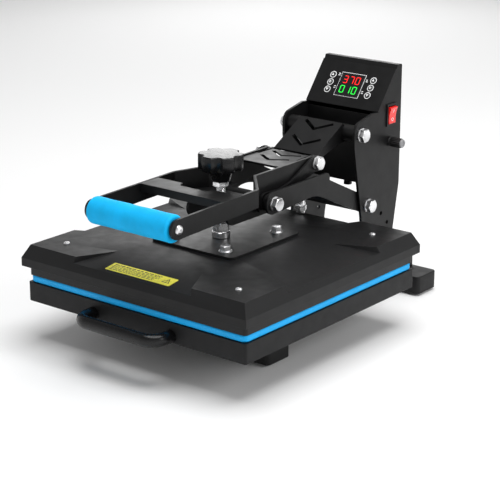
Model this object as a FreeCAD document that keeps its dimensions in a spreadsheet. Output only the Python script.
"""Clamshell heat press with a slide-out lower platen, modelled in millimetres.

X runs to the machine's right as its user stands in front of it, Y runs to the back and Z runs up.
The origin is on the floor, in the middle of the machine's outer box. Distances to the back are
written as stations: a station is measured from the front of the pull handle.
"""

import FreeCAD, Part
import os
import re

import Sketcher
from FreeCAD import Placement, Rotation, Vector

X_AXIS = Vector(1, 0, 0)
Y_AXIS = Vector(0, 1, 0)
Z_AXIS = Vector(0, 0, 1)

# Driving dimensions: every name here is an alias in the spreadsheet "Dims".
SIZES = {
    # outer box
    "total_length": 550,
    "total_height": 325,
    # feet, rails and drawer slides
    "foot_width": 262,
    "foot_depth": 47,
    "foot_top": 29,
    "pad_height": 3,
    "pad_radius": 11,
    "front_foot_station": 153,
    "rail_width": 30,
    "rail_top": 45,
    "rail_wall": 2,
    "rail_front": 100,
    "channel_height": 8,
    "channel_wall": 1.5,
    "runner_width": 22,
    "runner_web": 12,
    "runner_length": 330,
    "slide_gap": 0.5,
    # lower platen
    "tray_width": 370,
    "tray_depth": 365,
    "tray_bottom": 54.4,
    "tray_height": 26.3,
    "tray_wall": 2,
    "tray_front": 40,
    "mat_inset": 2,
    "mat_height": 9.4,
    "mat_corner": 8,
    "pull_radius": 8.5,
    "pull_half": 66,
    "pull_bend": 20,
    "pull_level": 63.4,
    # upper platen
    "platen_gap": 0.3,
    "heat_inset": 1.5,
    "heat_height": 12.5,
    "heat_corner": 5,
    "cover_width": 380,
    "cover_depth": 377,
    "cover_front": 34,
    "lip_bottom": 103,
    "lip_top": 114.5,
    "cover_top": 132,
    "cover_slope": 9,
    "cover_skin": 2,
    "scoop_outer": 102,
    "scoop_inner": 72,
    "scoop_reach": 52,
    "scoop_depth": 8.5,
    "insulation_height": 9,
    "insulation_inset": 16,
    "label_length": 108,
    "label_width": 20,
    "label_shift": 4,
    "label_skin": 0.3,
    "cover_screw_half": 145.8,
    "cover_screw_front": 75.3,
    "cover_screw_rear": 360.5,
    "cover_screw_radius": 2,
    "cover_screw_head": 4.2,
    "plate_width": 140,
    "plate_depth": 146,
    "plate_front": 155,
    "plate_thick": 3.5,
    "plate_corner": 8,
    "plate_bolt_half": 44,
    "plate_bolt_pitch": 108,
    "gland_station": 394,
    "gland_radius": 9,
    "gland_height": 15,
    # pressure screw
    "screw_station": 218,
    "screw_radius": 6.5,
    "swivel_radius": 12,
    "swivel_height": 8.5,
    "swivel_hex": 11.5,
    "swivel_hex_height": 12,
    "collar_bottom": 206,
    "collar_height": 7,
    "collar_radius": 11,
    "hub_top": 229,
    "hub_low_radius": 12,
    "hub_radius": 16,
    "knob_radius": 30,
    "knob_height": 21,
    "knob_lobes": 6,
    "scallop_radius": 8.5,
    "scallop_circle": 33.5,
    # hinge centres: tower top, tower bottom, link knuckle and handle
    "top_pivot_station": 449,
    "top_pivot_level": 239.4,
    "arm_pivot_station": 469.3,
    "arm_pivot_level": 132.6,
    "knuckle_station": 367.5,
    "knuckle_level": 213.4,
    "handle_pivot_station": 257.7,
    "handle_pivot_level": 182.8,
    "pin_radius": 6,
    "pin_fit": 0.05,
    # tower and control housing
    "tower_half": 63.2,
    "tower_plate": 4,
    "tower_rear": 547,
    "housing_bottom": 156,
    "housing_skin": 1.5,
    "housing_front": 489,
    "panel_low_station": 488.8,
    "panel_low_level": 264.8,
    "panel_tilt": 52.1,
    "panel_length": 69.4,
    "panel_thick": 2,
    "display_width": 40,
    "display_length": 36,
    "display_low": 15.5,
    "display_skin": 0.8,
    "key_half": 35,
    "key_low": 22,
    "key_pitch": 12,
    "key_radius": 3.6,
    "key_proud": 1,
    "key_seat": 1.4,
    # press arm
    "arm_half": 58.7,
    "arm_plate": 3.5,
    "arm_nose": 16,
    "arm_heel": 12,
    "arm_hump_rear": 382,
    "arm_hump_top": 200,
    "arm_hump_low": 188.2,
    "arm_belly_station": 350,
    "arm_belly_level": 173.9,
    "arm_fall": 26,
    "yoke_half": 35,
    "yoke_front": 188,
    "yoke_rear": 290,
    "yoke_bottom": 162,
    "yoke_top": 189,
    "yoke_lid": 4,
    "tube_radius": 11,
    "bush_radius": 13,
    "bush_drop": 10,
    # handle
    "grip_station": 49,
    "grip_level": 200,
    "grip_radius": 17.9,
    "grip_core": 8,
    "grip_length": 134,
    "bar_half": 73,
    "bar_thick": 4,
    "bar_height": 26,
    "bar_top_rise": 3,
    "bar_bottom_rise": 4.8,
    "jog_start": 206.5,
    "jog_end": 240,
    "cheek_half": 42,
    "bridge_front": 298,
    "bridge_neck": 340,
    "bridge_rear": 369.5,
    "bridge_top": 220.5,
    "bridge_thick": 3,
    "bridge_neck_half": 32,
    "slot_reach": 30,
    "slot_width": 5,
    "slot_drill": 12,
    "cross_front": 136.5,
    "cross_depth": 36,
    "cross_notch_half": 23,
    "cross_notch_depth": 11,
    "cross_top": 215,
    "cross_thick": 3,
    "cross_flange": 11,
    # upper link
    "link_half": 37,
    "link_plate": 3.5,
    "link_lid_length": 70,
    # switch, fuse and cable gland
    "switch_station": 521.5,
    "switch_level": 255.5,
    "switch_width": 20,
    "switch_height": 29,
    "rocker_width": 16.5,
    "rocker_height": 24,
    "fuse_station": 521.4,
    "fuse_level": 216,
    "fuse_radius": 7,
    "fuse_length": 20,
    "cord_gland_station": 520,
    "foot_corner": 6,
    "pad_inset": 24,
    "rail_end": 6,
    "channel_length": 360,
    "runner_setback": 30,
    "tray_corner": 4,
    "label_setback": 12,
    "plate_bolt_radius": 4,
    "plate_bolt_flange": 9.2,
    "plate_bolt_corner": 7.5,
    "cover_screw_rise": 2.5,
    "bolt_bite": 6,
    "drill_gap": 0.05,
    "tower_nose": 16,
    "tower_knee_level": 150,
    "tower_foot_rear": 534,
    "tower_foot_level": 80,
    "tower_foot_front": 445,
    "tower_waist_station": 455,
    "tower_waist_level": 111,
    "panel_high_station": 532.9,
    "panel_high_level": 318.2,
    "tower_hole_station": 503,
    "tower_hole_level": 113,
    "tower_hole_radius": 3,
    "tower_bolt_front": 462,
    "tower_bolt_rear": 520,
    "tower_bolt_radius": 4,
    "tower_bolt_head": 5,
    "temperature_row": 35,
    "timer_row": 19.5,
    "digit_pitch": 10.5,
    "digit_width": 7.5,
    "digit_height": 12,
    "digit_stroke": 1.2,
    "digit_gap": 0.15,
    "digit_proud": 0.3,
    "key_gap": 0.3,
    "bezel_depth": 16,
    "bezel_proud": 2,
    "bezel_rim": 1.5,
    "rocker_gap": 0.4,
    "rocker_lean": 8,
    "rocker_thick": 5,
    "rocker_pin": 1.5,
    "rocker_pin_reach": 0.8,
    "fuse_body_radius": 6.5,
    "fuse_inside": 18,
    "cord_gland_x": -8,
    "cord_gland_radius": 6,
    "washer_thick": 2,
    "washer_radius": 11,
    "bolt_head": 7.5,
    "bolt_corner": 9.8,
    "yoke_plate": 4,
    "lid_front": 198,
    "lid_shoulder": 214,
    "lid_rear": 241,
    "knuckle_radius": 11,
    "knuckle_pin": 5,
    "knuckle_spacer": 9,
    "knuckle_stand": 1.5,
    "knuckle_head": 6,
    "boss_radius": 15,
    "cheek_gap": 1,
    "cheek_radius": 14,
    "grip_bolt": 4,
    "grip_bolt_corner": 6.5,
    "grip_bolt_head": 4,
    "bridge_slot_1": 316.5,
    "bridge_slot_2": 343.5,
    "link_eye": 8,
    "link_heel": 13,
    "link_tube": 11.5,
    "link_end_gap": 0.4,
    "link_lid_station": 382,
    "link_lid_level": 216.6,
    "link_lid_tilt": 29,
    "link_slot_1": 12,
    "link_slot_2": 46,
}

doc = FreeCAD.newDocument("HeatPress")
sheet = doc.addObject("Spreadsheet::Sheet", "Dims")
for row, (alias, number) in enumerate(SIZES.items(), 1):
    sheet.set(f"A{row}", alias)
    sheet.set(f"B{row}", str(number))
    sheet.setAlias(f"B{row}", alias)
doc.recompute()

subparts = []


def formula(text):
    """Point every known name in an expression at its spreadsheet cell."""
    return re.sub(r"[a-z_]\w*", lambda m: f"Dims.{m[0]}" if m[0] in SIZES else m[0], str(text))


def bind(thing, **sizes):
    """Tie properties of an object to expressions of the driving dimensions."""
    for name, text in sizes.items():
        thing.setExpression(name, formula(text))


def put(thing, x="0", station="total_length / 2", z="0", turn=None):
    """Place an object at x, station and height, after an optional fixed turn."""
    if turn:
        thing.Placement = Placement(Vector(), Rotation(*turn))
    for name, text in (("x", x), ("y", f"({station}) - total_length / 2"), ("z", z)):
        thing.setExpression(f"Placement.Base.{name}", formula(text))
    return thing


def block(length, width, height, **where):
    """A box; length runs along X, width along Y and height along Z."""
    box = doc.addObject("Part::Box", "Block")
    bind(box, Length=length, Width=width, Height=height)
    return put(box, **where)


def round_bar(radius, length, along="z", **where):
    """A cylinder that starts at its place and runs along one axis."""
    turns = {"x": (Y_AXIS, 90), "y": (X_AXIS, -90), "z": None}
    bar = doc.addObject("Part::Cylinder", "RoundBar")
    bind(bar, Radius=radius, Height=length)
    return put(bar, turn=turns[along], **where)


def hex_bar(radius, length, along="z", **where):
    """A six-sided bar; the radius reaches its corners."""
    turns = {"x": (Y_AXIS, 90), "y": (X_AXIS, -90), "z": None}
    bar = doc.addObject("Part::Prism", "HexBar")
    bar.Polygon = 6
    bind(bar, Circumradius=radius, Height=length)
    return put(bar, turn=turns[along], **where)


def join(*pieces):
    whole = doc.addObject("Part::MultiFuse", "Join")
    whole.Shapes = list(pieces)
    return whole


def remove(base, *tools):
    rest = doc.addObject("Part::Cut", "Remove")
    rest.Base = base
    rest.Tool = tools[0] if len(tools) == 1 else join(*tools)
    return rest


def overlap(*pieces):
    common = doc.addObject("Part::MultiCommon", "Overlap")
    common.Shapes = list(pieces)
    return common


def mirrored(source):
    """The same piece on the other side of the machine."""
    twin = doc.addObject("Part::Mirroring", "Mirrored")
    twin.Source = source
    twin.Normal = X_AXIS
    return twin


def loose(*pieces):
    """Several separate solids that share one name, such as a set of bolts."""
    group = doc.addObject("Part::Compound", "Loose")
    group.Links = list(pieces)
    return group


def subpart(label, thing):
    thing.Label = label
    subparts.append(thing)
    return thing


def outline_body(plane, corners, depth, **where):
    """A pad of a closed outline; each corner is a pair of formulas measured from the body's origin.

    A corner may carry a third formula, the radius that rounds it.
    """
    body = doc.addObject("PartDesign::Body", "Outlined")
    sketch = body.newObject("Sketcher::SketchObject", "Outline")
    support = next(o for o in body.Origin.OriginFeatures if o.Role == plane)
    sketch.AttachmentSupport = [(support, "")]
    sketch.MapMode = "FlatFace"
    count = len(corners)
    start = [Rotation(Z_AXIS, 360 * i / count).multVec(Vector(100, 0, 0)) for i in range(count)]
    for i in range(count):
        sketch.addGeometry(Part.LineSegment(start[i], start[(i + 1) % count]), False)
    for i in range(count):
        sketch.addConstraint(Sketcher.Constraint("Coincident", i, 2, (i + 1) % count, 1))
    for i, corner in enumerate(corners):
        for kind, text, near in zip(("DistanceX", "DistanceY"), corner, start[i]):
            rule = sketch.addConstraint(Sketcher.Constraint(kind, -1, 1, i, 1, near))
            sketch.setExpression(f"Constraints[{rule}]", formula(text))
    pad = body.newObject("PartDesign::Pad", "Pad")
    pad.Profile = sketch
    bind(pad, Length=depth)
    doc.recompute()
    for i, corner in enumerate(corners):
        if len(corner) == 3:
            round_corner(body, sketch, i, corner[2])
    return put(body, **where)


def round_corner(body, sketch, index, radius):
    """Round the pad's edge that rises from one corner of its outline."""
    corner = sketch.Placement.multVec(sketch.Geometry[index].StartPoint)
    across = sketch.Placement.Rotation.multVec(Z_AXIS)
    base = body.Tip
    for number, edge in enumerate(base.Shape.Edges, 1):
        ends = [vertex.Point for vertex in edge.Vertexes]
        on_line = all((end - corner).cross(across).Length < 1e-4 for end in ends)
        if len(ends) == 2 and on_line:
            fillet = body.newObject("PartDesign::Fillet", "Round")
            fillet.Base = (base, [f"Edge{number}"])
            bind(fillet, Radius=radius)
            body.Tip = fillet
            doc.recompute()
            return
    raise ValueError("no edge rises from this corner")


def slab(width, depth, height, corner, **where):
    """A plate centred on X whose upright edges are rounded."""
    half = f"({width}) / 2"
    corners = [
        (f"-{half}", "0", corner),
        (half, "0", corner),
        (half, depth, corner),
        (f"-{half}", depth, corner),
    ]
    return outline_body("XY_Plane", corners, height, **where)


def strap(start, end, width, thick, x):
    """A flat bar with rounded ends that joins two centres given as (station, level)."""
    run = f"(({end[0]}) - ({start[0]}))"
    rise = f"(({end[1]}) - ({start[1]}))"
    span = f"hypot({run}; {rise})"
    bar = doc.addObject("Part::Box", "Strap")
    bind(bar, Length=thick, Width=span, Height=width)
    station = f"({start[0]}) + ({width}) / 2 * {rise} / {span}"
    level = f"({start[1]}) - ({width}) / 2 * {run} / {span}"
    put(bar, x=x, station=station, z=level, turn=(X_AXIS, 1))
    bind(bar, **{"Placement.Rotation.Angle": f"atan2({rise}; {run})"})
    ends = [
        round_bar(f"({width}) / 2", thick, along="x", x=x, station=point[0], z=point[1])
        for point in (start, end)
    ]
    return join(bar, *ends)


def cross_hole(radius, centre, x="-total_length / 2", length="total_length"):
    """A drill that runs along X through a centre given as (station, level)."""
    return round_bar(radius, length, along="x", x=x, station=centre[0], z=centre[1])


def on_panel(thing, across, along, lift):
    """Lay an object on the sloping control panel: across it, up along it and proud of it."""
    station = f"panel_low_station + ({along}) * cos(panel_tilt) - ({lift}) * sin(panel_tilt)"
    level = f"panel_low_level + ({along}) * sin(panel_tilt) + ({lift}) * cos(panel_tilt)"
    put(thing, x=across, station=station, z=level, turn=(X_AXIS, 1))
    bind(thing, **{"Placement.Rotation.Angle": "panel_tilt"})
    return thing


TOP_PIVOT = ("top_pivot_station", "top_pivot_level")
ARM_PIVOT = ("arm_pivot_station", "arm_pivot_level")
KNUCKLE = ("knuckle_station", "knuckle_level")
HANDLE_PIVOT = ("handle_pivot_station", "handle_pivot_level")
GRIP = ("grip_station", "grip_level")


# ---- base: feet, rails and slides ----------------------------------------------------------

REAR_FOOT_STATION = "total_length - foot_depth"


def build_feet():
    for label, station in (("front_foot", "front_foot_station"), ("rear_foot", REAR_FOOT_STATION)):
        foot = slab("foot_width", "foot_depth", "foot_top - pad_height", "foot_corner",
                    station=station, z="pad_height")
        subpart(label, foot)
    pads = []
    for station in ("front_foot_station", REAR_FOOT_STATION):
        for side in (-1, 1):
            pads.append(round_bar("pad_radius", "pad_height", x=f"{side} * (foot_width / 2 - pad_inset)",
                                  station=f"{station} + foot_depth / 2"))
    subpart("foot_pads", loose(*pads))


def build_rail():
    """A square tube from foot to foot with an open slide channel along its top."""
    length = "total_length - rail_front - rail_end"
    tube = block("rail_width", length, "rail_top - foot_top",
                 x="tower_half", station="rail_front", z="foot_top")
    bore = block("rail_width - 2 * rail_wall", length, "rail_top - foot_top - 2 * rail_wall",
                 x="tower_half + rail_wall", station="rail_front", z="foot_top + rail_wall")
    outer_width = "(runner_width + 2 * slide_gap + 2 * channel_wall)"
    left_edge = f"tower_half + (rail_width - {outer_width}) / 2"
    channel = block(outer_width, "channel_length", "channel_height",
                    x=left_edge, station="rail_front", z="rail_top")
    groove = block("runner_width + 2 * slide_gap", "channel_length", "channel_height",
                   x=f"{left_edge} + channel_wall", station="rail_front", z="rail_top + channel_wall")
    rail = remove(join(tube, channel), bore, groove, *tower_bolt_holes())
    subpart("base_rail_right", rail)
    subpart("base_rail_left", mirrored(rail))


TOWER_BOLT_LEVEL = "(foot_top + rail_top) / 2"


def tower_bolt_holes():
    return [cross_hole("tower_bolt_radius", (station, TOWER_BOLT_LEVEL))
            for station in ("tower_bolt_front", "tower_bolt_rear")]


def tower_drills():
    """The holes that both tower plates share: hinge bolts, rail bolts and two locating holes."""
    return [
        *tower_bolt_holes(),
        cross_hole("pin_radius", TOP_PIVOT),
        cross_hole("pin_radius", ARM_PIVOT),
        cross_hole("tower_hole_radius", ("tower_hole_station", "tower_hole_level")),
        cross_hole("tower_hole_radius", ("tower_hole_station + 16", "tower_hole_level - 17")),
    ]


def build_tower():
    corners = [
        ("tower_rear", "total_height", "3"),
        ("tower_rear", "tower_knee_level"),
        ("tower_foot_rear", "tower_foot_level"),
        ("tower_foot_rear", "foot_top"),
        ("tower_foot_front", "foot_top"),
        ("tower_waist_station", "tower_waist_level", "40"),
        ("top_pivot_station - tower_nose", "top_pivot_level - tower_nose", "60"),
        ("top_pivot_station - tower_nose", "top_pivot_level + tower_nose", "tower_nose - 1"),
        ("panel_low_station - 12", "panel_low_level"),
        ("panel_low_station + panel_thick * sin(panel_tilt)",
         "panel_low_level - panel_thick * cos(panel_tilt)"),
        ("panel_high_station", "panel_high_level"),
        ("panel_high_station + 3", "total_height"),
    ]
    plate = outline_body("YZ_Plane", corners, "tower_plate",
                         x="tower_half - tower_plate", station="0")
    subpart("tower_plate_left", mirrored(remove(plate, *tower_drills())))
    openings = [
        cross_hole("fuse_body_radius", ("fuse_station", "fuse_level"), x="0"),
        block("20", "switch_width", "switch_height", x="tower_half - 10",
              station="switch_station - switch_width / 2", z="switch_level - switch_height / 2"),
    ]
    subpart("tower_plate_right", remove(plate, *tower_drills(), *openings))

    bolts = []
    for station in ("tower_bolt_front", "tower_bolt_rear"):
        head = hex_bar("tower_bolt_radius * 2", "tower_bolt_head", along="x",
                       x="tower_half + rail_width", station=station, z=TOWER_BOLT_LEVEL)
        shank = round_bar("tower_bolt_radius", "rail_width + tower_plate", along="x",
                          x="tower_half - tower_plate", station=station, z=TOWER_BOLT_LEVEL)
        bolt = join(head, shank)
        bolts += [bolt, mirrored(bolt)]
    subpart("tower_bolts", loose(*bolts))


def build_housing():
    """The folded sheet between the tower plates that closes the control box."""
    corners = [
        ("housing_front", "housing_bottom"),
        ("tower_rear", "housing_bottom"),
        ("tower_rear", "total_height", "3"),
        ("panel_high_station + 3", "total_height"),
        ("panel_high_station", "panel_high_level"),
        ("housing_front", "panel_low_level - 4"),
    ]
    width = "2 * (tower_half - tower_plate)"
    outer = outline_body("YZ_Plane", corners, width, x="tower_plate - tower_half", station="0")
    corners = [
        ("housing_front + housing_skin", "housing_bottom + housing_skin"),
        ("tower_rear - housing_skin", "housing_bottom + housing_skin"),
        ("tower_rear - housing_skin", "total_height - housing_skin"),
        ("panel_high_station + 4.8", "total_height - housing_skin"),
        ("panel_high_station + 1.9", "panel_high_level - 0.5"),
        ("panel_high_station - 4.9", "panel_high_level - 1.2"),
        ("housing_front - 6", "panel_low_level + 2"),
        ("housing_front - 6", "panel_low_level - 6"),
        ("housing_front + housing_skin", "panel_low_level - 6"),
    ]
    inner = outline_body("YZ_Plane", corners, width, x="tower_plate - tower_half", station="0")
    gland = round_bar("cord_gland_radius - 1", "housing_bottom + 2 * housing_skin", x="cord_gland_x",
                      station="cord_gland_station")
    subpart("control_housing", remove(outer, inner, gland))


# ---- control panel ---------------------------------------------------------------------------

# Lit strokes of a seven-segment digit: top, upper left, upper right, middle, lower left,
# lower right, bottom.
STROKES = {"0": "1110111", "1": "0010010", "3": "1011011", "7": "1010010"}


def digit_strokes(text, along):
    """Thin raised bars for a row of seven-segment digits centred on the display."""
    bars = []
    for place, digit in enumerate(text):
        left = f"(({place} - {len(text)} / 2) * digit_pitch + (digit_pitch - digit_width) / 2)"
        right = f"({left} + digit_width - digit_stroke)"
        middle = f"({along} + (digit_height - digit_stroke) / 2)"
        upper = f"{along} + digit_height - digit_stroke"
        half = "(digit_height - digit_stroke) / 2 - 2 * digit_gap"
        wide = "digit_width - 2 * digit_stroke"
        inner = f"({left} + digit_stroke)"
        low = f"{along} + digit_stroke / 2 + digit_gap"
        high = f"{middle} + digit_stroke / 2 + digit_gap"
        spots = [
            (wide, "digit_stroke", inner, upper),
            ("digit_stroke", half, left, high),
            ("digit_stroke", half, right, high),
            (wide, "digit_stroke", inner, middle),
            ("digit_stroke", half, left, low),
            ("digit_stroke", half, right, low),
            (wide, "digit_stroke", inner, along),
        ]
        for lit, (length, width, across, up) in zip(STROKES[digit], spots):
            if lit == "1":
                bar = doc.addObject("Part::Box", "Stroke")
                bind(bar, Length=length, Width=width, Height="digit_proud")
                bars.append(on_panel(bar, across, up, "display_skin"))
    return loose(*bars)


def key_places():
    return [(side, row) for side in (-1, 1) for row in range(3)]


def build_panel():
    sheet_metal = doc.addObject("Part::Box", "PanelSheet")
    bind(sheet_metal, Length="2 * tower_half", Width="panel_length", Height="panel_thick")
    on_panel(sheet_metal, "-tower_half", "0", "-panel_thick")
    wells = []
    for side, row in key_places():
        well = doc.addObject("Part::Cylinder", "KeyWell")
        bind(well, Radius="key_radius + key_gap", Height="3 * panel_thick")
        across, along = f"{side} * key_half", f"key_low + {row} * key_pitch"
        wells.append(on_panel(well, across, along, "-2 * panel_thick"))
        key = doc.addObject("Part::Cylinder", "Key")
        bind(key, Radius="key_radius", Height="key_seat + key_proud")
        on_panel(key, across, along, "-key_seat")
        subpart(f"key_{'left' if side < 0 else 'right'}_{row + 1}", key)
    subpart("control_panel", remove(sheet_metal, *wells))
    glass = doc.addObject("Part::Box", "Glass")
    bind(glass, Length="display_width", Width="display_length", Height="display_skin")
    subpart("display_window", on_panel(glass, "-display_width / 2", "display_low", "0"))
    subpart("temperature_digits", digit_strokes("370", "temperature_row"))
    subpart("timer_digits", digit_strokes("010", "timer_row"))


def build_side_fittings():
    """The power switch, the fuse holder and the gland where the cord goes in."""
    frame = block("bezel_proud", "switch_width + 2 * bezel_rim", "switch_height + 2 * bezel_rim",
                  x="tower_half", station="switch_station - switch_width / 2 - bezel_rim",
                  z="switch_level - switch_height / 2 - bezel_rim")
    shell = block("bezel_depth", "switch_width", "switch_height", x="tower_half - bezel_depth",
                  station="switch_station - switch_width / 2", z="switch_level - switch_height / 2")
    well = block("bezel_depth + bezel_proud", "rocker_width + 2 * rocker_gap", "rocker_height + 2",
                 x="tower_half - bezel_depth + 2",
                 station="switch_station - rocker_width / 2 - rocker_gap",
                 z="switch_level - rocker_height / 2 - 1")
    bearing = round_bar("rocker_pin + pin_fit", "rocker_width + 2 * rocker_pin_reach + 0.4", along="y",
                        x="tower_half", z="switch_level",
                        station="switch_station - rocker_width / 2 - rocker_pin_reach - 0.2")
    subpart("switch_bezel", remove(join(frame, shell), well, bearing))
    rocker = doc.addObject("Part::Box", "Rocker")
    bind(rocker, Length="rocker_thick", Width="rocker_width", Height="rocker_height")
    put(rocker, x="tower_half - rocker_height / 2 * sin(rocker_lean)",
        station="switch_station - rocker_width / 2",
        z="switch_level - rocker_height / 2 * cos(rocker_lean)", turn=(Y_AXIS, 1))
    bind(rocker, **{"Placement.Rotation.Angle": "rocker_lean"})
    pins = round_bar("rocker_pin", "rocker_width + 2 * rocker_pin_reach", along="y",
                     x="tower_half", z="switch_level",
                     station="switch_station - rocker_width / 2 - rocker_pin_reach")
    subpart("rocker_switch", join(rocker, pins))
    body = round_bar("fuse_body_radius", "fuse_inside", along="x", x="tower_half - fuse_inside",
                     station="fuse_station", z="fuse_level")
    cap = round_bar("fuse_radius", "fuse_length", along="x", x="tower_half",
                    station="fuse_station", z="fuse_level")
    ring = round_bar("fuse_radius - 1", "2", along="x", x="tower_half + fuse_length",
                     station="fuse_station", z="fuse_level")
    subpart("fuse_holder", join(body, cap, ring))
    place = {"x": "cord_gland_x", "station": "cord_gland_station"}
    neck = round_bar("cord_gland_radius - 1", "housing_skin + 6", z="housing_bottom", **place)
    nut = hex_bar("cord_gland_radius + 1.5", "6", z="housing_bottom - 6", **place)
    dome = round_bar("cord_gland_radius", "9", z="housing_bottom - 15", **place)
    bore = round_bar("cord_gland_radius - 3", "40", z="housing_bottom - 20", **place)
    subpart("cord_gland", remove(join(neck, nut, dome), bore))


def hinge_bolt(centre, half):
    """A through bolt with a washer and head on the right and a washer and nut on the left."""
    shank = round_bar("pin_radius", f"2 * ({half}) + washer_thick", along="x",
                      x=f"-({half})", station=centre[0], z=centre[1])
    tail = round_bar("pin_radius", "washer_thick + bolt_head + 2", along="x",
                     x=f"-({half}) - washer_thick - bolt_head - 2", station=centre[0], z=centre[1])
    head = hex_bar("bolt_corner", "bolt_head", along="x", x=f"({half}) + washer_thick",
                   station=centre[0], z=centre[1])
    bolt = join(shank, tail, head)
    outer = round_bar("washer_radius", "washer_thick", along="x", x=half,
                      station=centre[0], z=centre[1])
    right_washer = remove(outer, cross_hole("pin_radius", centre))
    outer = round_bar("washer_radius", "washer_thick", along="x", x=f"-({half}) - washer_thick",
                      station=centre[0], z=centre[1])
    left_washer = remove(outer, cross_hole("pin_radius", centre))
    outer = hex_bar("bolt_corner", "bolt_head", along="x", x=f"-({half}) - washer_thick - bolt_head",
                    station=centre[0], z=centre[1])
    nut = remove(outer, cross_hole("pin_radius", centre))
    return loose(bolt, right_washer, left_washer, nut)


# ---- lower platen -----------------------------------------------------------------------------

def build_drawer():
    outer = slab("tray_width", "tray_depth", "tray_height", "tray_corner",
                 station="tray_front", z="tray_bottom")
    hollow = block("tray_width - 2 * tray_wall", "tray_depth - 2 * tray_wall", "tray_height - tray_wall",
                   x="tray_wall - tray_width / 2", station="tray_front + tray_wall", z="tray_bottom")
    subpart("lower_tray", remove(outer, hollow))
    mat = slab("tray_width - 2 * mat_inset", "tray_depth - 2 * mat_inset", "mat_height", "mat_corner",
               station="tray_front + mat_inset", z="tray_bottom + tray_height")
    subpart("silicone_mat", mat)
    level = "(rail_top + channel_wall + slide_gap)"
    station = "tray_front + runner_setback"
    shoe = block("runner_width", "runner_length", f"tray_bottom - {level}",
                 x="tower_half + (rail_width - runner_width) / 2", station=station, z=level)
    web = block("runner_web", "runner_length", f"tray_bottom + tray_height - tray_wall - {level}",
                x="tower_half + (rail_width - runner_web) / 2", station=station, z=level)
    runner = join(shoe, web)
    subpart("drawer_runners", loose(runner, mirrored(runner)))


def build_pull_handle():
    bend = "(pull_half - pull_bend)"
    turn_station = "pull_radius + pull_bend"
    pieces = [
        round_bar("pull_radius", f"2 * {bend}", along="x", x=f"-{bend}",
                  station="pull_radius", z="pull_level"),
    ]
    for side, angle in ((1, -90), (-1, 180)):
        corner = doc.addObject("Part::Torus", "Bend")
        bind(corner, Radius1="pull_bend", Radius2="pull_radius")
        corner.Angle3 = 90
        put(corner, x=f"{side} * {bend}", station=turn_station, z="pull_level", turn=(Z_AXIS, angle))
        leg = round_bar("pull_radius", f"tray_front - ({turn_station})", along="y",
                        x=f"{side} * pull_half", station=turn_station, z="pull_level")
        pieces += [corner, leg]
    subpart("pull_handle", join(*pieces))


# ---- upper platen -----------------------------------------------------------------------------

PLATEN_BOTTOM = "(tray_bottom + tray_height + mat_height + platen_gap)"
PLATE_TOP = "(cover_top + plate_thick)"
PLATE_MIDDLE = "(plate_front + plate_depth / 2)"


def plate_bolt_places():
    return [
        (f"{side} * plate_bolt_half", f"{PLATE_MIDDLE} + {end} * plate_bolt_pitch / 2")
        for side in (-1, 1) for end in (-1, 1)
    ]


def cover_screw_places():
    return [
        (f"{side} * cover_screw_half", station)
        for side in (-1, 1) for station in ("cover_screw_front", "cover_screw_rear")
    ]


def platen_drills(radius, places, bottom, top):
    return [round_bar(radius, f"({top}) - ({bottom})", x=x, station=station, z=bottom)
            for x, station in places]


def wedge(spans, **where):
    """A tapered block: (x, z) extents at its start and at its end along Y."""
    solid = doc.addObject("Part::Wedge", "Wedge")
    names = ("Xmin", "Xmax", "Zmin", "Zmax", "X2min", "X2max", "Z2min", "Z2max", "Ymin", "Ymax")
    bind(solid, **dict(zip(names, spans)))
    return put(solid, **where)


def hood(inset, top):
    """The cover's solid form: an upright lip and a sloping shoulder, shrunk by an inset."""
    half = f"(cover_width / 2 - ({inset}))"
    depth = f"(cover_depth - 2 * ({inset}))"
    lip = block(f"2 * {half}", depth, "lip_top - lip_bottom", x=f"-{half}",
                station=f"cover_front + ({inset})", z="lip_bottom")
    spans = (f"-{half}", half, "0", depth, f"cover_slope - {half}", f"{half} - cover_slope",
             "cover_slope", f"{depth} - cover_slope", "0", f"({top}) - lip_top")
    shoulder = wedge(spans, turn=(X_AXIS, 90), station=f"cover_front + ({inset}) + {depth}", z="lip_top")
    return join(lip, shoulder)


def scoops(grow):
    """Four hollows, one in the middle of each side, whose floors fall outwards."""
    outer = f"(scoop_outer + ({grow}))"
    inner = f"(scoop_inner + ({grow}))"
    spans = (f"-{outer}", outer, f"-scoop_depth - ({grow})", "10", f"-{inner}", inner,
             f"-({grow})", "10", "0", "scoop_reach + cover_slope")
    middle = "cover_front + cover_depth / 2"
    places = [
        ("0", "cover_front", 0),
        ("cover_width / 2", middle, 90),
        ("0", "cover_front + cover_depth", 180),
        ("-cover_width / 2", middle, -90),
    ]
    return [wedge(spans, turn=(Z_AXIS, angle), x=x, station=station, z="cover_top")
            for x, station, angle in places]


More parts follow.
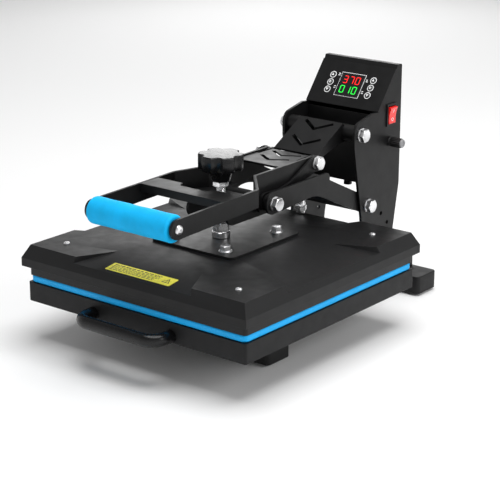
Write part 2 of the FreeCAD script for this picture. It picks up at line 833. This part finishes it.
def build_platen():
    bottom = PLATEN_BOTTOM
    top = f"({bottom} + heat_height)"
    bolt_bottom = f"({top} - bolt_bite)"
    screw_drill = "cover_screw_radius + drill_gap"
    bolt_drill = "plate_bolt_radius + drill_gap"
    core = slab("tray_width - 2 * heat_inset", "tray_depth - 2 * heat_inset", "heat_height",
                "heat_corner", station="tray_front + heat_inset", z=bottom)
    drills = platen_drills(bolt_drill, plate_bolt_places(), bolt_bottom, top)
    drills += platen_drills(screw_drill, cover_screw_places(), bolt_bottom, top)
    subpart("heat_platen", remove(core, *drills))

    inset = "insulation_inset"
    board = block(f"tray_width - 2 * {inset}", f"tray_depth - 2 * {inset}", "insulation_height",
                  x=f"{inset} - tray_width / 2", station=f"tray_front + {inset}", z=top)
    drills = platen_drills(bolt_drill, plate_bolt_places(), top, f"{top} + insulation_height")
    drills += platen_drills(screw_drill, cover_screw_places(), top, f"{top} + insulation_height")
    subpart("insulation_board", remove(board, *drills))

    skin = "cover_skin"
    outer = remove(hood("0", "cover_top"), *scoops("0"))
    cavity = remove(hood(skin, f"cover_top - {skin}"), *scoops(skin))
    drills = platen_drills(bolt_drill, plate_bolt_places(), "lip_bottom", "cover_top + 1")
    drills += platen_drills(screw_drill, cover_screw_places(), "lip_bottom", "cover_top + 1")
    gland_hole = round_bar("gland_radius - 3", "2 * cover_skin + 2", station="gland_station",
                           z="cover_top - 2 * cover_skin")
    subpart("platen_cover", remove(outer, cavity, gland_hole, *drills))

    label = doc.addObject("Part::Box", "Label")
    bind(label, Length="label_length", Width="label_width", Height="label_skin")
    fall = "scoop_depth / (scoop_reach + cover_slope)"
    put(label, x="label_shift - label_length / 2", station="cover_front + label_setback",
        z=f"cover_top - scoop_depth + label_setback * {fall}", turn=(X_AXIS, 1))
    bind(label, **{"Placement.Rotation.Angle": "atan2(scoop_depth; scoop_reach + cover_slope)"})
    subpart("warning_label", label)

    plate = slab("plate_width", "plate_depth", "plate_thick", "plate_corner",
                 station="plate_front", z="cover_top")
    drills = platen_drills(bolt_drill, plate_bolt_places(), "cover_top - 1", f"{PLATE_TOP} + 1")
    subpart("mounting_plate", remove(plate, *drills))

    bolts = []
    for x, station in plate_bolt_places():
        shank = round_bar("plate_bolt_radius", f"{PLATE_TOP} - {bolt_bottom}", x=x, station=station,
                          z=bolt_bottom)
        flange = round_bar("plate_bolt_flange", "1.5", x=x, station=station, z=PLATE_TOP)
        head = hex_bar("plate_bolt_corner", "8", x=x, station=station, z=PLATE_TOP)
        bolts.append(join(shank, flange, head))
    subpart("mounting_bolts", loose(*bolts))

    screws = []
    for x, station in cover_screw_places():
        shank = round_bar("cover_screw_radius", f"cover_top - {bolt_bottom}", x=x, station=station,
                          z=bolt_bottom)
        head = round_bar("cover_screw_head", "cover_screw_rise", x=x, station=station, z="cover_top")
        screws.append(join(shank, head))
    subpart("cover_screws", loose(*screws))

    nut = hex_bar("gland_radius", "gland_height / 2", station="gland_station", z="cover_top")
    dome = round_bar("gland_radius - 2", "gland_height", station="gland_station", z="cover_top")
    neck = round_bar("gland_radius - 3", "2 * cover_skin", station="gland_station",
                     z="cover_top - 2 * cover_skin")
    bore = round_bar("gland_radius - 5", "2 * gland_height", station="gland_station",
                     z="cover_top - 2 * cover_skin")
    subpart("platen_gland", remove(join(nut, dome, neck), bore))


# ---- pressure screw -------------------------------------------------------------------------

def build_screw():
    station = "screw_station"
    fit = "screw_radius + pin_fit"
    base = round_bar("swivel_radius", "swivel_height", station=station, z=PLATE_TOP)
    hexagon = hex_bar("swivel_hex", "swivel_hex_height", station=station, z=f"{PLATE_TOP} + swivel_height")
    socket = round_bar(fit, "40", station=station, z=f"{PLATE_TOP} + swivel_height + 1")
    subpart("swivel_nut", remove(join(base, hexagon), socket))

    foot = f"({PLATE_TOP} + swivel_height + 1.5)"
    rod = round_bar("screw_radius", f"hub_top - 5 - {foot}", station=station, z=foot)
    subpart("pressure_screw", rod)

    drill = {"station": station, "z": "collar_bottom - 10"}
    nut = hex_bar("collar_radius", "collar_height", station=station, z="collar_bottom")
    subpart("knob_lock_nut", remove(nut, round_bar("screw_radius", "30", **drill)))

    hub_bottom = "(collar_bottom + collar_height)"
    hub = doc.addObject("Part::Cone", "Hub")
    bind(hub, Radius1="hub_low_radius", Radius2="hub_radius", Height=f"hub_top - {hub_bottom}")
    put(hub, station=station, z=hub_bottom)
    disc = round_bar("knob_radius", "knob_height", station=station, z="hub_top")
    bites = []
    lobes = SIZES["knob_lobes"]
    for lobe in range(lobes):
        angle = f"({lobe} * 360 / knob_lobes)"
        bites.append(round_bar("scallop_radius", "knob_height + 2", x=f"scallop_circle * cos({angle})",
                               station=f"{station} + scallop_circle * sin({angle})", z="hub_top - 1"))
    seat = round_bar("screw_radius", f"hub_top - 5 - {hub_bottom}", station=station, z=hub_bottom)
    subpart("pressure_knob", remove(join(remove(disc, *bites), hub), seat))


# ---- press arm --------------------------------------------------------------------------------

def build_arm():
    inner = "(arm_half - arm_plate)"
    front = "handle_pivot_station - arm_nose"
    end_station = "(arm_pivot_station + arm_heel * cos(arm_fall))"
    end_level = "(arm_pivot_level - arm_heel * sin(arm_fall))"
    corners = [
        (front, "handle_pivot_level - arm_nose + 0.5", "arm_nose - 2"),
        (front, "handle_pivot_level + arm_nose + 0.5", "arm_nose - 2"),
        ("arm_hump_rear", "arm_hump_top", "8"),
        ("arm_hump_rear", "arm_hump_low"),
        (f"{end_station} + arm_heel * sin(arm_fall)", f"{end_level} + arm_heel * cos(arm_fall)",
         "arm_heel - 1"),
        (f"{end_station} - arm_heel * sin(arm_fall)", f"{end_level} - arm_heel * cos(arm_fall)",
         "arm_heel - 1"),
        ("arm_belly_station", "arm_belly_level", "60"),
    ]
    plate = remove(
        outline_body("YZ_Plane", corners, "arm_plate", x=inner, station="0"),
        cross_hole("pin_radius", HANDLE_PIVOT),
        cross_hole("tube_radius", ARM_PIVOT),
    )
    subpart("arm_plate_right", plate)
    subpart("arm_plate_left", mirrored(plate))

    sleeve = round_bar("tube_radius", "2 * arm_half", along="x", x="-arm_half",
                       station=ARM_PIVOT[0], z=ARM_PIVOT[1])
    subpart("arm_pivot_tube", remove(sleeve, cross_hole("pin_radius + pin_fit", ARM_PIVOT)))
    sleeve = round_bar("tube_radius", f"2 * {inner}", along="x", x=f"-{inner}",
                       station=HANDLE_PIVOT[0], z=HANDLE_PIVOT[1])
    subpart("handle_pivot_tube", remove(sleeve, cross_hole("pin_radius", HANDLE_PIVOT)))
    subpart("handle_pivot_bolt", hinge_bolt(HANDLE_PIVOT, "arm_half"))

    nose = "(yoke_top - yoke_bottom) / 2"
    side = join(
        block("yoke_plate", f"yoke_rear - yoke_front - {nose}", "yoke_top - yoke_bottom",
              x="yoke_half - yoke_plate", station=f"yoke_front + {nose}", z="yoke_bottom"),
        round_bar(nose, "yoke_plate", along="x", x="yoke_half - yoke_plate",
                  station=f"yoke_front + {nose}", z=f"yoke_bottom + {nose}"),
    )
    corners = [
        (f"-{inner}", "lid_front"),
        (inner, "lid_front"),
        (inner, "lid_shoulder"),
        ("yoke_half + 1", "lid_rear"),
        ("-yoke_half - 1", "lid_rear"),
        (f"-{inner}", "lid_shoulder"),
    ]
    lid = outline_body("XY_Plane", corners, "yoke_lid", station="0", z="yoke_top")
    bush = round_bar("bush_radius", "bush_drop", station="screw_station", z="yoke_top - bush_drop")
    web = block("2 * yoke_half - 2 * yoke_plate", "lid_rear - lid_front - 8", "3",
                x="yoke_plate - yoke_half", station="lid_front + 4", z="yoke_top - 3")
    bore = round_bar("screw_radius + pin_fit", "40", station="screw_station", z="yoke_top - 20")
    yoke = remove(join(side, mirrored(side), lid, web, bush), bore,
                  cross_hole("tube_radius", HANDLE_PIVOT))
    subpart("press_yoke", yoke)


# ---- handle -----------------------------------------------------------------------------------

def build_handle():
    build_bars()
    build_cheeks()
    build_cross_plate()
    build_bridge()
    build_grip()


def build_bars():
    """The two flat bars; each steps inwards behind the knob and ends at the knuckle."""
    low = "grip_level - bar_height / 2"
    high = "grip_level + bar_height / 2"
    nose = "grip_station - bar_height / 2"
    end = "knuckle_station + knuckle_radius"
    corners = [
        (nose, low, "bar_height / 2 - 0.5"),
        (nose, high, "bar_height / 2 - 0.5"),
        ("jog_start", f"{high} + bar_top_rise"),
        ("jog_end", "bridge_top + 1.5"),
        (end, "bridge_top + 2", "knuckle_radius - 1"),
        (end, "knuckle_level - knuckle_radius", "knuckle_radius - 1"),
        ("handle_pivot_station + 9", "handle_pivot_level - boss_radius", "8"),
        ("handle_pivot_station - 9", "handle_pivot_level - boss_radius", "8"),
        ("jog_end - 4", "handle_pivot_level + 9", "3"),
        ("jog_start", f"{low} + bar_bottom_rise"),
    ]
    side = outline_body("YZ_Plane", corners, "bar_half + 10", station="0")
    strip = outline_body("XY_Plane", [
        ("bar_half - bar_thick", nose),
        ("bar_half", nose),
        ("bar_half", "jog_start"),
        ("cheek_half", "jog_end"),
        ("cheek_half", "knuckle_station + 30"),
        ("cheek_half - bar_thick", "knuckle_station + 30"),
        ("cheek_half - bar_thick", "jog_end - 1.2"),
        ("bar_half - bar_thick", "jog_start - 1.2"),
    ], "total_height", station="0")
    bar = remove(
        overlap(side, strip),
        cross_hole("tube_radius + pin_fit", HANDLE_PIVOT),
        cross_hole("knuckle_pin", KNUCKLE),
        cross_hole("grip_bolt", GRIP),
    )
    subpart("handle_bar_right", bar)
    subpart("handle_bar_left", mirrored(bar))


def build_cheeks():
    """The plates that brace the bars between the handle pivot and the knuckle, and their bolts."""
    inner = "(cheek_half + cheek_gap)"
    outer = "(cheek_half + cheek_gap + bar_thick)"
    radius = "cheek_radius"
    end_top = "knuckle_level + knuckle_radius - 1"
    end_rear = "knuckle_station + knuckle_radius"
    corners = [
        (f"handle_pivot_station - {radius}", f"handle_pivot_level - {radius}", f"{radius} - 3"),
        (f"handle_pivot_station - {radius}", f"handle_pivot_level + {radius}", f"{radius} - 3"),
        ("handle_pivot_station + 28", "handle_pivot_level + 12"),
        ("handle_pivot_station + 52", "handle_pivot_level + 17"),
        (f"knuckle_station - {radius}", "knuckle_level + 7"),
        ("knuckle_station - 2", end_top, "8"),
        (end_rear, end_top, "knuckle_radius - 1"),
        (end_rear, "knuckle_level - knuckle_radius", "knuckle_radius - 1"),
        ("knuckle_station - 4", "knuckle_level - knuckle_radius - 1"),
    ]
    cheek = remove(
        outline_body("YZ_Plane", corners, "bar_thick", x=inner, station="0"),
        cross_hole("tube_radius + pin_fit", HANDLE_PIVOT),
        cross_hole("knuckle_pin", KNUCKLE),
    )
    subpart("handle_cheek_right", cheek)
    subpart("handle_cheek_left", mirrored(cheek))

    place = {"along": "x", "station": KNUCKLE[0], "z": KNUCKLE[1]}
    start = "cheek_half - bar_thick"
    shank = round_bar("knuckle_pin", f"{outer} - ({start})", x=start, **place)
    spacer = round_bar("knuckle_spacer", "cheek_gap", x="cheek_half", **place)
    collar = round_bar("knuckle_spacer", "knuckle_stand", x=outer, **place)
    head = hex_bar("bolt_corner", "knuckle_head", x=f"{outer} + knuckle_stand", **place)
    knuckle = join(shank, spacer, collar, head)
    subpart("knuckle_bolts", loose(knuckle, mirrored(knuckle)))


def build_cross_plate():
    """A folded plate between the bars, notched so that it swings past the knob."""
    width = "2 * (bar_half - bar_thick)"
    top = block(width, "cross_depth", "cross_thick", x="bar_thick - bar_half",
                station="cross_front", z="cross_top - cross_thick")
    flange = block(width, "cross_thick", "cross_flange", x="bar_thick - bar_half",
                   station="cross_front", z="cross_top - cross_flange")
    rear = "cross_front + cross_depth"
    notch = outline_body("XY_Plane", [
        ("-cross_notch_half", f"{rear} - cross_notch_depth", "6"),
        ("cross_notch_half", f"{rear} - cross_notch_depth", "6"),
        ("cross_notch_half + 4", f"{rear} + 1"),
        ("-cross_notch_half - 4", f"{rear} + 1"),
    ], "2 * cross_thick", station="0", z="cross_top - 1.5 * cross_thick")
    subpart("handle_cross_plate", remove(join(top, flange), notch))


def build_grip():
    width = "2 * (bar_half - bar_thick)"
    place = {"along": "x", "station": GRIP[0], "z": GRIP[1]}
    core = round_bar("grip_core", width, x="bar_thick - bar_half", **place)
    subpart("grip_core", remove(core, cross_hole("grip_bolt", GRIP)))
    foam = round_bar("grip_radius", "grip_length", x="-grip_length / 2", **place)
    subpart("foam_grip", remove(foam, cross_hole("grip_core", GRIP)))
    shank = round_bar("grip_bolt", "bar_thick + 20", x="bar_half - bar_thick - 20", **place)
    head = hex_bar("grip_bolt_corner", "grip_bolt_head", x="bar_half", **place)
    bolt = join(shank, head)
    subpart("grip_bolts", loose(bolt, mirrored(bolt)))


def chevron():
    """The cutter of an arrow slot: two arms that meet at the origin and point to the front."""
    arm = doc.addObject("Part::Box", "SlotArm")
    bind(arm, Length="slot_reach", Width="slot_width", Height="slot_drill")
    arm.Placement = Placement(Vector(), Rotation(Z_AXIS, 33))
    return join(arm, mirrored(arm))


def build_bridge():
    """The top plate that ties the handle's bars together, with two arrow slots."""
    wide = "(cheek_half - bar_thick)"
    corners = [
        (f"-{wide}", "bridge_front"),
        (wide, "bridge_front"),
        (wide, "bridge_neck"),
        ("bridge_neck_half", "bridge_neck"),
        ("bridge_neck_half", "bridge_rear"),
        ("-bridge_neck_half", "bridge_rear"),
        ("-bridge_neck_half", "bridge_neck"),
        (f"-{wide}", "bridge_neck"),
    ]
    plate = outline_body("XY_Plane", corners, "bridge_thick", station="0",
                         z="bridge_top - bridge_thick")
    slots = [put(chevron(), station=station, z="bridge_top - slot_drill / 2")
             for station in ("bridge_slot_1", "bridge_slot_2")]
    subpart("handle_bridge", remove(plate, *slots))


# ---- upper link -------------------------------------------------------------------------------

def build_link():
    corners = [
        ("knuckle_station - link_eye", "knuckle_level - link_eye", "link_eye - 1.5"),
        ("knuckle_station - link_eye", "knuckle_level + link_eye", "link_eye - 1.5"),
        ("knuckle_station + link_eye", "knuckle_level + link_eye"),
        ("link_lid_station + link_plate * sin(link_lid_tilt) / 2", "link_lid_level + link_plate / 2"),
        ("link_lid_station + link_lid_length * cos(link_lid_tilt)",
         "link_lid_level + link_lid_length * sin(link_lid_tilt)"),
        ("top_pivot_station + link_heel", "top_pivot_level + link_heel - 3", "8"),
        ("top_pivot_station + link_heel", "top_pivot_level - link_heel", "8"),
        ("top_pivot_station - link_heel", "top_pivot_level - link_heel"),
    ]
    side = outline_body("YZ_Plane", corners, "link_plate", x="link_half - link_plate", station="0")
    lid = doc.addObject("Part::Box", "Lid")
    bind(lid, Length="2 * link_half", Width="link_lid_length", Height="link_plate")
    put(lid, x="-link_half", station="link_lid_station", z="link_lid_level", turn=(X_AXIS, 1))
    bind(lid, **{"Placement.Rotation.Angle": "link_lid_tilt"})
    slots = []
    for along in ("link_slot_1", "link_slot_2"):
        slot = chevron()
        put(slot, turn=(X_AXIS, 1),
            station=f"link_lid_station + {along} * cos(link_lid_tilt) + slot_drill / 2 * sin(link_lid_tilt)",
            z=f"link_lid_level + {along} * sin(link_lid_tilt) - slot_drill / 2 * cos(link_lid_tilt)")
        bind(slot, **{"Placement.Rotation.Angle": "link_lid_tilt"})
        slots.append(slot)
    link = remove(
        join(side, mirrored(side), remove(lid, *slots)),
        cross_hole("link_tube", TOP_PIVOT),
        cross_hole("knuckle_pin + pin_fit", KNUCKLE),
    )
    subpart("upper_link", link)
    half = "(tower_half - tower_plate - link_end_gap)"
    sleeve = round_bar("link_tube", f"2 * {half}", along="x", x=f"-{half}",
                       station=TOP_PIVOT[0], z=TOP_PIVOT[1])
    subpart("link_pivot_tube", remove(sleeve, cross_hole("pin_radius + pin_fit", TOP_PIVOT)))


def main():
    build_feet()
    build_rail()
    build_tower()
    build_housing()
    build_panel()
    build_side_fittings()
    subpart("top_pivot_bolt", hinge_bolt(TOP_PIVOT, "tower_half"))
    subpart("arm_pivot_bolt", hinge_bolt(ARM_PIVOT, "tower_half"))
    build_drawer()
    build_pull_handle()
    build_platen()
    build_screw()
    build_arm()
    build_handle()
    build_link()
    doc.recompute()
    check()
    export()


def check():
    """Stop before writing anything if an object failed or a sub-part has no sound shape."""
    for thing in doc.Objects:
        if "Invalid" in thing.State or "Error" in thing.State:
            raise RuntimeError(f"{thing.Label} failed: {thing.State}")
    for thing in subparts:
        if thing.Shape.isNull() or not thing.Shape.isValid() or thing.Shape.Volume <= 0:
            raise RuntimeError(f"{thing.Label} has no sound shape")


def export():
    os.makedirs("parts", exist_ok=True)
    for thing in subparts:
        thing.Shape.exportStep(f"parts/{thing.Label}.step")
        box = thing.Shape.BoundBox
        reach = (box.XMin, box.XMax, box.YMin, box.YMax, box.ZMin, box.ZMax)
        print(f"{thing.Label:22s} {len(thing.Shape.Solids)} solids", *(f"{end:8.1f}" for end in reach))


main()
